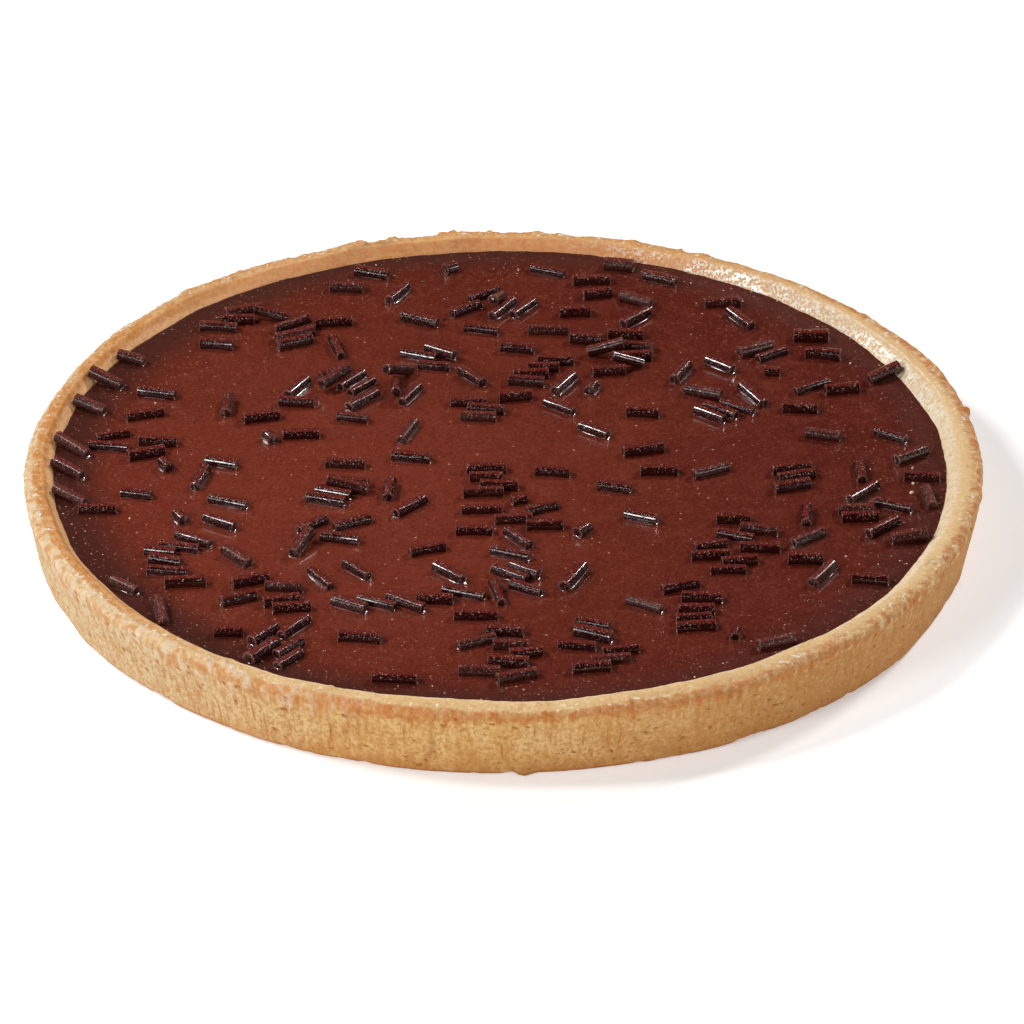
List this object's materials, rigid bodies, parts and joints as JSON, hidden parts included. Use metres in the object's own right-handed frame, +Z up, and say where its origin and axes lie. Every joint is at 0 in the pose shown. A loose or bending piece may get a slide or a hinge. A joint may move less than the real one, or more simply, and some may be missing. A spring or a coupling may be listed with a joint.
{
  "type": "chocolate tart",
  "caption": "Round shallow tart: a golden shortcrust pastry case with a low uneven rim, filled to just below the rim with smooth set chocolate.",
  "frame": {"origin": "centre of the flat underside of the pastry case", "axes": "+Z up through the filling; +X towards the side where the rim is widest; the tart is near enough round, so +Y follows from the other two"},
  "size_m": [0.24, 0.2397, 0.0195],
  "materials": {
    "pastry": "dry baked shortcrust, sandy, a little toasted along the rim",
    "chocolate": "smooth set milk-dark chocolate filling with a wet gloss",
    "sprinkle_chocolate": "dark extruded chocolate rods, glossy on their tops"
  },
  "bodies": {
    "root": {"pastry_case": "pastry", "chocolate_filling": "chocolate"}
  },
  "joints": []
}
